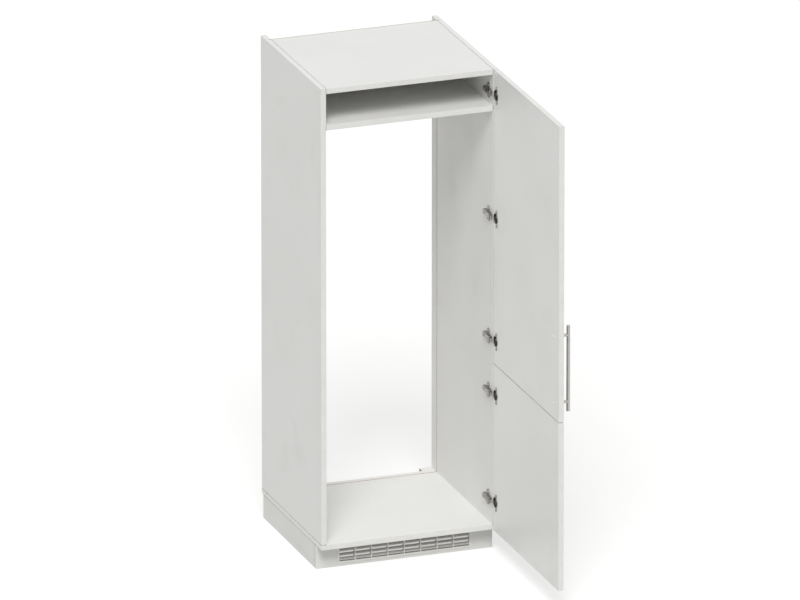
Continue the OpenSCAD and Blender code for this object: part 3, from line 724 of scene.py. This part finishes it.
def front_band(node):
    lo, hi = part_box(node)
    made = block("band_" + node.replace("_edging", ""), lo, hi)
    choose(made, "EDGE", lambda a, b: in_plane(a, b, 1, lo.y))
    bevel(ROUND)
    settle(made, 60, flat=True)
    finish_piece(made, carcass_band, "white_edging", "carcass", node)


for part in ("side_left", "side_right", "base", "top", "shelf"):
    front_band(part + "_edging")

# %% [markdown]
# A door is banded on all four edges. Its band is made from a box of the whole door: both broad
# faces are inset by the band's thickness, the middles are taken out, and the two openings are
# bridged into one inner wall. The outer corners are then rounded.

# %% Bands round the doors
def door_band(door):
    lo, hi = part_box(door + "_edging")
    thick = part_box(door)[0].z - lo.z
    made = block("band_" + door, lo, hi)
    choose(made, "FACE", lambda c, n: abs(n.x) > 0.9)
    bpy.ops.mesh.inset(thickness=thick, depth=0)
    bpy.ops.mesh.delete(type="FACE")
    done()

    def inner(p):
        return all(lo[i] + thick / 2 < p[i] < hi[i] - thick / 2 for i in (1, 2))

    choose(made, "EDGE", lambda a, b: inner(a) and inner(b) and abs(a.x - b.x) < ON_EDGE)
    bpy.ops.mesh.bridge_edge_loops()
    done()
    choose(made, "EDGE", lambda a, b: not inner(a) and not inner(b) and abs(a.x - b.x) < ON_EDGE)
    bevel(ROUND)
    settle(made, 60, flat=True)

    def glue(tree, x, y, z):
        return both(tree, near(tree, y, (lo.y + hi.y) / 2, (hi.y - lo.y) / 2 - thick + GLUE),
                    near(tree, z, (lo.z + hi.z) / 2, (hi.z - lo.z) / 2 - thick + GLUE))

    band = band_material(door + "_edge_band", "#EEEEEB", glue)
    finish_piece(made, band, "white_edging", door, door + "_edging")


for door in ("upper_door", "lower_door"):
    door_band(door)

# %% [markdown]
# ## Fibre board back
# The small back of the top compartment is hard fibre board: printed white in front, and bare,
# brown and slightly hairy behind, with the woven mark of the press screen.

# %% Fibre board
back_board, tree, shader, spot = finish_tree("hard_fibre_board", 0.6)
behind = above(tree, axes(tree, spot)[1], groove_front + SLACK)
fibres = noise(tree, spot, 2.2, 5.0, 0.7, stretch=(3, 1, 1))
brown = mixed(tree, span_of(tree, fibres, 0.3, 0.7, 0.0, 1.0), colour("#8A6B49"), colour("#B8966B"))
printed = mixed(tree, span_of(tree, noise(tree, spot, 200, 3.0), 0.35, 0.65, 0.0, 0.3),
                colour("#E9E8E3"), colour("#D9D7D0"))
# the real screen has a mesh of 1.5 mm; it is drawn at 3 mm so that it doesn't vanish
screen = add(tree, "ShaderNodeTexVoronoi", {"Vector": spot, "Scale": 1000 / 3.0, "Randomness": 0.08})
hairy = relief(tree, fibres, 0.06, 0.3)
wire(tree, shader, Base_Color=mixed(tree, behind, printed, brown),
     Roughness=span_of(tree, behind, 0.0, 1.0, 0.45, 0.85),
     Normal=relief(tree, both(tree, screen.outputs["Distance"], behind), 0.2, 0.5, hairy))
dress(back_board, "upper_back")

# %% [markdown]
# ## Metals
# Three metals are on show. The hinges are pressed steel with bright nickel, the screws are
# steel with a bluish zinc, and the handle is brushed stainless steel, whose fine scratches all
# run along the bar. Under the nickel the sheet keeps the faint orange peel of the press.

# %% Nickel, zinc, cast zinc and brushed steel
def metal(name, hex_text, dark_hex, rough, grain_mm, stretch, depth_mm, wear=0.25):
    material, tree, shader, spot = finish_tree(name, rough, 1.0)
    grain = noise(tree, spot, grain_mm, 3.0, 0.6, stretch)
    cloud = noise(tree, spot, 14, 4.0, 0.6)
    tarnish = span_of(tree, cloud, 0.45, 0.75, 0.0, wear)
    tarnish = math_of(tree, "ADD", tarnish, span_of(tree, grain, 0.3, 0.7, 0.0, wear / 2))
    face = mixed(tree, tarnish, colour(hex_text), colour(dark_hex))
    gloss = math_of(tree, "ADD", span_of(tree, grain, 0.25, 0.75, rough - 0.07, rough + 0.07),
                    span_of(tree, cloud, 0.4, 0.7, -0.03, 0.06))
    wire(tree, shader, Base_Color=face, Roughness=gloss, Normal=relief(tree, grain, depth_mm, 0.4))
    return material


nickel = metal("nickel_plated_steel", "#A3A09B", "#6E6C68", 0.30, 1.1, (1, 1, 1), 0.02)
zinc = metal("zinc_plated_steel", "#A9ACB0", "#6C6F74", 0.36, 0.9, (1, 1, 1), 0.03, 0.4)
cast_zinc = metal("die_cast_zinc", "#9EA0A2", "#6E7072", 0.5, 0.8, (1, 1, 1), 0.06, 0.4)
# brushing marks are about 0.05 mm wide; drawn at 0.5 mm and forty times as long, up the bar
brushed = metal("brushed_stainless_steel", "#BFBDB8", "#8B8883", 0.3, 0.5, (1, 1, 40), 0.015)

HINGES = range(1, 6)
dress(cast_zinc, "cam_housings")
dress(zinc, "cam_bolts", "base_screws", "back_pins", "plinth_screws")
dress(nickel, *("hinge_pin_%d" % k for k in HINGES))

# %% [markdown]
# ## Beech dowels and plastic blocks
# Dowels are turned beech: pale, with short dark flecks along the grain. The corner blocks of the
# plinth are moulded plastic with a spark-eroded, evenly dull skin.

# %% Beech and block plastic
beech, tree, shader, spot = finish_tree("turned_beech", 0.62)
grain = noise(tree, spot, 1.2, 4.0, 0.6, stretch=(10, 1, 1))
flecks = span_of(tree, noise(tree, spot, 0.8, 2.0, 0.5, stretch=(5, 1, 1)), 0.6, 0.7, 0.0, 0.7)
wood = mixed(tree, span_of(tree, grain, 0.3, 0.7, 0.0, 1.0), colour("#D8B387"), colour("#C09464"))
wood = mixed(tree, flecks, wood, colour("#8A5F39"))
wire(tree, shader, Base_Color=wood, Roughness=span_of(tree, grain, 0.3, 0.7, 0.55, 0.7),
     Normal=relief(tree, grain, 0.08, 0.4))
dress(beech, "carcass_dowels")


def moulded(name, hex_text, dust_hex, rough, dust, grain_mm=0.9):
    """Moulded plastic: a fine eroded skin, and dust that settles where a face looks up."""
    material, tree, shader, spot = finish_tree(name, rough)
    facing = axes(tree, spot.node.outputs["Normal"])[2]
    skin = noise(tree, spot, grain_mm, 2.0, 0.5)
    settled = both(tree, span_of(tree, facing, 0.15, 0.8, 0.0, dust),
                   span_of(tree, noise(tree, spot, 7, 4.0, 0.65), 0.3, 0.65, 0.25, 1.0))
    flow = span_of(tree, noise(tree, spot, 70, 3.0), 0.35, 0.65, 0.0, 0.25)
    face = mixed(tree, flow, colour(hex_text), colour("#DEDCD6"))
    face = mixed(tree, settled, face, colour(dust_hex))
    gloss = math_of(tree, "ADD", span_of(tree, skin, 0.3, 0.7, rough - 0.05, rough + 0.05),
                    math_of(tree, "MULTIPLY", settled, 0.35))
    wire(tree, shader, Base_Color=face, Roughness=gloss, Normal=relief(tree, skin, 0.05, 0.35))
    return material


block_plastic = moulded("moulded_block_plastic", "#E8E7E3", "#B8B2A6", 0.55, 0.25)
grille_plastic = moulded("moulded_grille_plastic", "#F1F0ED", "#B9B3A7", 0.42, 0.35)
dress(block_plastic, "plinth_blocks")

# %% [markdown]
# ## Air grille
# The grille is one white moulding: a lip with rounded corners, a collar that goes through the
# plinth, seven uprights and three slanting blades. The lip and the collar are two boxes welded
# into one and cut open, and the uprights and blades are welded in. A mould never makes a sharp
# edge, so the lip's rim, the uprights and the noses of the blades are all rounded by bevels.

# %% Sizes of the grille, in metres
lip_lo, lip_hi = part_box("vent_grille")
LIP_T, LIP_W, WALL, CORNER_R = 0.002, 0.006, 0.002, 0.005
COLUMNS, ROWS, UPRIGHT, BLADE, BLADE_RISE = 8, 3, 0.003, 0.0016, 0.004
RIM_R, UPRIGHT_R, NOSE_R = 0.0005, 0.0006, 0.0005
open_lo = Vector((lip_lo.x + LIP_W, lip_lo.y, lip_lo.z + LIP_W))
open_hi = Vector((lip_hi.x - LIP_W, lip_hi.y, lip_hi.z - LIP_W))
column_step = (open_hi.x - open_lo.x + UPRIGHT) / COLUMNS
row_step = (open_hi.z - open_lo.z) / ROWS
print("slots, mm:", round(column_step * 1000, 2), "by", round(row_step * 1000, 2))

# %% Lip and collar
grille = block("air_grille", lip_lo, (lip_hi.x, lip_lo.y + LIP_T, lip_hi.z))
choose(grille, "EDGE", lambda a, b: abs(a.y - b.y) > LIP_T / 2)
bevel(CORNER_R, 8)
merge(grille, block("collar", (open_lo.x - WALL, lip_lo.y + LIP_T / 2, open_lo.z - WALL),
                    (open_hi.x + WALL, lip_hi.y, open_hi.z + WALL)))
carve(grille, block("opening", open_lo - Vector((0, 0.01, 0)), open_hi + Vector((0, 0.01, 0))))
modify(grille, "BEVEL", width=RIM_R, segments=3, limit_method="ANGLE", angle_limit=math.radians(50),
       use_clamp_overlap=False)
print("lip and collar faces:", len(grille.data.polygons))

# %% Uprights and blades
parts = []
for k in range(1, COLUMNS):
    x_hi = open_lo.x + k * column_step
    upright = block("upright", (x_hi - UPRIGHT, lip_lo.y + LIP_T / 4, open_lo.z - WALL / 2),
                    (x_hi, lip_hi.y, open_hi.z + WALL / 2))
    choose(upright, "EDGE", lambda a, b: abs(a.z - b.z) > 0.01)
    bevel(UPRIGHT_R)
    parts.append(upright)
for k in range(ROWS):
    low = open_lo.z + k * row_step + (row_step - BLADE_RISE - BLADE) / 2
    blade = block("blade", (open_lo.x - WALL / 2, lip_lo.y + LIP_T / 2, low),
                  (open_hi.x + WALL / 2, lip_hi.y - WALL, low + BLADE))
    choose(blade, "FACE", lambda c, n: n.y > 0.9)
    bpy.ops.transform.translate(value=(0, 0, BLADE_RISE))
    done()
    choose(blade, "EDGE", lambda a, b: abs(a.x - b.x) > 0.1)
    bevel(NOSE_R)
    parts.append(blade)
merge(grille, *parts)
knit(grille)
settle(grille, 40)
finish_piece(grille, grille_plastic, "grille_plastic", "carcass", "vent_grille")

# %% [markdown]
# ## Screws
# A screw head from a bought screw is slightly domed and has a cross recess with tapered walls.
# The head starts as a short cylinder whose rim is rounded, and two tapered bars are cut out of
# it. The shank gets a thread: a small triangle swept up a helix by the Screw modifier. One screw
# is modelled for each size, and its copies go where the model's screws are.

# %% Where a node's screws are
def solids_of(node):
    """The box of each separate solid in a CAD node, lowest first."""
    choose_all(merged_copy(node, "probe"))
    bpy.ops.mesh.separate(type="LOOSE")
    done()
    boxes = []
    for o in list(bpy.context.selected_objects):
        points = [v.co for v in o.data.vertices]
        boxes.append((Vector([min(p[i] for p in points) for i in range(3)]),
                      Vector([max(p[i] for p in points) for i in range(3)])))
        bpy.data.objects.remove(o)
    return sorted(boxes, key=lambda b: (round(b[0].z, 4), round(b[0].y, 4)))


# %% One screw, its head looking towards -X, its seat at the origin
# shares of the head's height and width, and of the shank's width
HEAD_ROUND, RECESS_DEEP, RECESS_LONG, RECESS_WIDE, RECESS_TAPER = 0.55, 0.7, 0.29, 0.065, 0.55
CORE_R, TIP_FROM, TIP_LONG, TIP_R = 0.36, 0.6, 0.55, 0.15
PITCH, THREAD_SHORT, RIDGE_R, RIDGE_AT = 0.42, 1.1, 0.15, 0.35
DEEPEST_RECESS = 0.0014


def screw_model(name, shank_d, length, head_d, head_h):
    head = rod(name, head_d / 2, (0, 0, 0), (-head_h, 0, 0), 40)
    choose(head, "EDGE", lambda a, b: in_plane(a, b, 0, -head_h))
    bevel(head_h * HEAD_ROUND, 4)
    deep = min(head_h * RECESS_DEEP, DEEPEST_RECESS)
    arm, half = head_d * RECESS_LONG, head_d * RECESS_WIDE
    for long_y in (True, False):
        size = (arm, half) if long_y else (half, arm)
        tool = block("recess", (-head_h - 0.001, -size[0], -size[1]), (-head_h + deep, size[0], size[1]))
        choose(tool, "FACE", lambda c, n: n.x > 0.9)
        bpy.ops.transform.resize(value=(1, RECESS_TAPER, RECESS_TAPER))
        done()
        carve(head, tool)
    core = rod("core", shank_d * CORE_R, (0, 0, 0), (length - shank_d * TIP_FROM, 0, 0), 20)
    choose(core, "FACE", lambda c, n: n.x > 0.9)
    extrude((shank_d * TIP_LONG, 0, 0))
    bpy.ops.transform.resize(value=(1, TIP_R, TIP_R))
    done()
    pitch = shank_d * PITCH
    turns = int((length - shank_d * THREAD_SHORT) / pitch) - 1
    bpy.ops.mesh.primitive_circle_add(vertices=3, radius=shank_d * RIDGE_R, fill_type="NGON",
                                      location=(0, 0, shank_d * RIDGE_AT))
    ridge = bpy.context.active_object
    ridge.rotation_euler = (math.radians(90), 0, 0)
    place_in_mesh(ridge)
    modify(ridge, "SCREW", axis="X", angle=math.radians(360), steps=16, render_steps=16,
           screw_offset=pitch, iterations=turns, use_merge_vertices=False)
    # the sweep leaves both ends of the thread open, so they are capped
    choose_all(ridge)
    bpy.ops.mesh.fill_holes(sides=3)
    done()
    ridge.location = (pitch, 0, 0)
    place_in_mesh(ridge)
    return settle(together(name, [head, core, ridge]), 45)


def screws_for(node, body, name, material):
    """Copies of modelled screws at the places of a node's screws. Each kind is made once."""
    kinds, copies = {}, []
    for lo, hi in solids_of(node):
        centre = (lo + hi) / 2
        size, seat = cad_screw(node, lo, hi)
        if size not in kinds:
            kinds[size] = screw_model("screw_model", *size)
        copies.append(twin(kinds[size], name, (seat, centre.y, centre.z)))
    for model in kinds.values():
        bpy.data.objects.remove(model)
    print("screws:", len(copies), "kinds:", len(kinds))
    finish_piece(together(name, copies), material, "screw_steel", body, node)


# %% Sizes of the screws: shank, length, head, head height, and the seat of the head
HEAD_H, SMALL_HEAD = 0.002, 0.007
SHANKS = {"plate_screws": 0.005, "arm_screws": 0.005, "upper_cup_screws": 0.004,
          "lower_cup_screws": 0.004, "handle_screws": 0.004}


def cad_screw(node, lo, hi):
    """The sizes of one of the model's screws, from its box. A small head is half as high."""
    head_d = round(hi.z - lo.z, 4)
    high = HEAD_H if head_d > SMALL_HEAD else HEAD_H / 2
    return (SHANKS[node], round(hi.x - lo.x - high, 4), head_d, high), lo.x + high


screws_for("plate_screws", "carcass", "plate_wood_screws", zinc)
screws_for("arm_screws", "carcass", "arm_set_screws", zinc)
screws_for("upper_cup_screws", "upper_door", "upper_flange_screws", zinc)
screws_for("lower_cup_screws", "lower_door", "lower_flange_screws", zinc)

# %% The handle's bolts: zinc shanks, and heads lacquered white to go with the door
lacquered, tree, shader, spot = finish_tree("white_lacquered_bolt", 0.4)
on_head = below(tree, axes(tree, spot)[0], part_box("upper_door")[0].x)
uneven = span_of(tree, noise(tree, spot, 2.5, 3.0), 0.4, 0.7, 0.0, 0.5)
lacquer = mixed(tree, uneven, colour("#ECECEA"), colour("#D2D1CC"))
wire(tree, shader, Base_Color=mixed(tree, on_head, colour("#A9ACB0"), lacquer),
     Metallic=math_of(tree, "SUBTRACT", 1.0, on_head),
     Normal=relief(tree, noise(tree, spot, 0.7), 0.03, 0.3))
screws_for("handle_screws", "upper_door", "handle_bolts", lacquered)

# %% [markdown]
# ## Cup hinges
# A cup hinge has three stampings. The cross-shaped plate is thick sheet with punched, rounded
# wings, and the cup is deep-drawn with a flange, so both are the model's shapes with rounded
# edges. The arm is thin sheet folded into a channel, and a fold has a real radius: it is made
# from a box whose rear and underside are left out, whose folds are bevelled, and which then gets
# the sheet's thickness. The swan neck is a flat bar, extruded and spun round its bend.

# %% Plates
for k in HINGES:
    plate = merged_copy("hinge_plate_%d" % k, "cross_plate_%d" % k)
    soften(plate, 0.5, 3)
    settle(plate, 50, flat=True)
    finish_piece(plate, nickel, "hinge_steel", "carcass", "hinge_plate_%d" % k)

# %% Cups, each riding on its door
for k in HINGES:
    cup = merged_copy("hinge_cup_%d" % k, "drawn_cup_%d" % k)
    soften(cup, 0.2, 2)
    settle(cup, 50, flat=True)
    door = "upper_door" if k < 4 else "lower_door"
    finish_piece(cup, nickel, "hinge_steel", door, "hinge_cup_%d" % k)

# %% The folded channel of the arm, at the height of the first hinge
arm_lo, arm_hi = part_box("hinge_arm_1")
hinge_z = [sum(corner.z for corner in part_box("hinge_arm_%d" % k)) / 2 for k in HINGES]
pin_lo, pin_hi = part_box("hinge_pin_1")
pivot = (pin_lo + pin_hi) / 2
plate_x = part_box("hinge_plate_1")[0].x
CHANNEL_FRONT, SHEET, FOLD = -0.054, 0.0012, 0.0018
z0 = hinge_z[0]
channel_lo = Vector((arm_lo.x, CHANNEL_FRONT, arm_lo.z))
channel_hi = Vector((plate_x, arm_hi.y, arm_hi.z))
channel = block("channel", channel_lo, channel_hi)
choose(channel, "FACE", lambda c, n: n.x > 0.9 or n.y > 0.9)
bpy.ops.mesh.delete(type="FACE")
done()


def folded(a, b):
    """The edges of the back, apart from its rear end, and all edges of the front."""
    on_back = in_plane(a, b, 0, channel_lo.x) and min(a.y, b.y) < channel_hi.y - 1e-4
    return in_plane(a, b, 1, CHANNEL_FRONT) or on_back


choose(channel, "EDGE", folded)
bevel(FOLD, 4)
modify(channel, "SOLIDIFY", thickness=SHEET, offset=-1, use_even_offset=True)
print("channel faces:", len(channel.data.polygons))

# %% Its slot and its screw hole
SLOT_Y, SLOT_LEN, SCREW_Y, HOLE_R = -0.008, 0.009, -0.040, 0.0026


def punch(name, y):
    """A punch through the back of the channel."""
    return rod(name, HOLE_R, (channel_lo.x - 0.002, y, z0), (channel_lo.x + 0.003, y, z0), 32)


slot_tool = punch("slot", SLOT_Y)
reach = SLOT_LEN / 2 - HOLE_R
for sign in (-1, 1):
    choose(slot_tool, "VERT", lambda p: (p.y - SLOT_Y) * sign > 1e-5)
    bpy.ops.transform.translate(value=(0, sign * reach, 0))
    done()
carve(channel, slot_tool, punch("hole", SCREW_Y))
print("channel with its holes:", len(channel.data.polygons))

# %% The swan neck: straight from the pin, round the bend, into the channel's front
NECK_TILT, NECK_RUN, NECK_R = math.radians(14), 0.009, 0.007
NECK_T, NECK_W, EYE_R, EYE_PLAY = 0.002, 0.010, 0.0021, 0.00006
run = Vector((-math.cos(NECK_TILT), -math.sin(NECK_TILT), 0)) * NECK_RUN
bend_start = Vector((pivot.x, pivot.y, z0)) + run
bend_centre = bend_start + Vector((-math.sin(NECK_TILT), math.cos(NECK_TILT), 0)) * NECK_R
bpy.ops.mesh.primitive_plane_add(size=1, location=(pivot.x, pivot.y, z0))
neck = bpy.context.active_object
neck.name = "neck"
neck.scale = (NECK_T, NECK_W, 1)
neck.rotation_euler = run.to_track_quat("Z", "Y").to_euler()
place_in_mesh(neck)
print("neck section, mm:", NECK_T * 1000, "by", NECK_W * 1000)

# %% Extrude and spin it
choose(neck, "FACE", lambda c, n: True)
extrude(run)
bpy.ops.mesh.spin(steps=12, angle=math.radians(90) + NECK_TILT, center=bend_centre, axis=(0, 0, 1))
extrude((0, CHANNEL_FRONT + SHEET / 2 - bend_centre.y, 0))
done()
choose_all(neck)
bpy.ops.mesh.remove_doubles(threshold=0.00001)
bpy.ops.mesh.normals_make_consistent(inside=False)
done()
print("neck faces:", len(neck.data.polygons))

# %% The eye round the pin, and the whole arm
def along_neck(a, b):
    """The long edges of the neck's two sides, clear of the eye."""
    on_side = abs(abs(a.z - z0) - NECK_W / 2) < ON_EDGE and abs(a.z - b.z) < ON_EDGE
    return on_side and (a - b).length > 1e-4 and (a - Vector((pivot.x, pivot.y, a.z))).length > NECK_T


def at_pin(name, radius, half):
    """A rod along the pin, reaching this far up and down."""
    return rod(name, radius, (pivot.x, pivot.y, z0 - half), (pivot.x, pivot.y, z0 + half), 32)


choose(neck, "EDGE", along_neck)
bevel(BROKEN, 2)
merge(neck, at_pin("eye", EYE_R, NECK_W / 2))
carve(neck, at_pin("eye_hole", (pin_hi.x - pin_lo.x) / 2 + EYE_PLAY, NECK_W))
merge(channel, neck)
knit(channel)
for k in HINGES:
    arm = twin(channel, "hinge_arm_folded_%d" % k, (0, 0, hinge_z[k - 1] - z0))
    settle(arm, 40, flat=True)
    finish_piece(arm, nickel, "hinge_steel", "carcass", "hinge_arm_%d" % k)
bpy.data.objects.remove(channel)

# %% [markdown]
# ## Bar handle
# A round bar on two posts. The bar is sawn off and rounded at both ends, and its end faces
# show the turning as a shallow ring. The posts are plain turned rods, as thick as the rings in
# the drawing. Each stands on the door on a slightly rounded foot with a fine groove above it.

# %% Bar
bar_lo, bar_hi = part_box("handle_bar")
bar_mid = (bar_lo + bar_hi) / 2
BAR_R = (bar_hi.y - bar_lo.y) / 2
BAR_ROUND, RING_IN, RING_W, RING_DEEP = 0.0009, 0.0016, 0.0003, 0.00015


def bar_rod(name, low, high):
    """A rod in the bar's place."""
    return rod(name, BAR_R, (bar_mid.x, bar_mid.y, low), (bar_mid.x, bar_mid.y, high), 64)


bar = bar_rod("round_handle_bar", bar_lo.z, bar_hi.z)
choose(bar, "EDGE", lambda a, b: abs(a.z - b.z) < ON_EDGE)
bevel(BAR_ROUND)
choose(bar, "FACE", lambda c, n: abs(n.z) > 0.99)
bpy.ops.mesh.inset(thickness=RING_IN, depth=0)
bpy.ops.mesh.inset(thickness=RING_W, depth=-RING_DEEP)
done()
settle(bar, 35)
finish_piece(bar, brushed, "handle_steel", "upper_door", "handle_bar")

# %% Posts
FOOT, FOOT_ROUND, BOLT_R = 0.003, 0.0004, 0.002
DIP_SLOPE, DIP_LONG, DIP_SHARE = 0.0003, 0.0006, 0.94
bolt_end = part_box("handle_screws")[1].x
posts = []
for lo, hi in solids_of("handle_posts"):
    mid = (lo + hi) / 2
    post_r = (hi.y - lo.y) / 2
    post = rod("post", post_r, (lo.x, mid.y, mid.z), (lo.x + FOOT, mid.y, mid.z), 48)
    choose(post, "FACE", lambda c, n: n.x > 0.9)
    plain = hi.x - lo.x - FOOT - 2 * DIP_SLOPE - DIP_LONG
    for step, grow in ((DIP_SLOPE, DIP_SHARE), (DIP_LONG, 1), (DIP_SLOPE, 1 / DIP_SHARE),
                       (plain, 1)):
        extrude((step, 0, 0))
        bpy.ops.transform.resize(value=(1, grow, grow))
    done()
    choose(post, "EDGE", lambda a, b: in_plane(a, b, 0, lo.x))
    bevel(FOOT_ROUND)
    # the bar lies in a saddle, and the bolt comes up the middle
    carve(post, bar_rod("saddle", lo.z - 0.01, hi.z + 0.01),
          rod("bolt hole", BOLT_R, (lo.x - 0.005, mid.y, mid.z), (bolt_end, mid.y, mid.z), 32))
    posts.append(post)
pair = settle(together("turned_handle_posts", posts), 35)
finish_piece(pair, brushed, "handle_steel", "upper_door", "handle_posts")
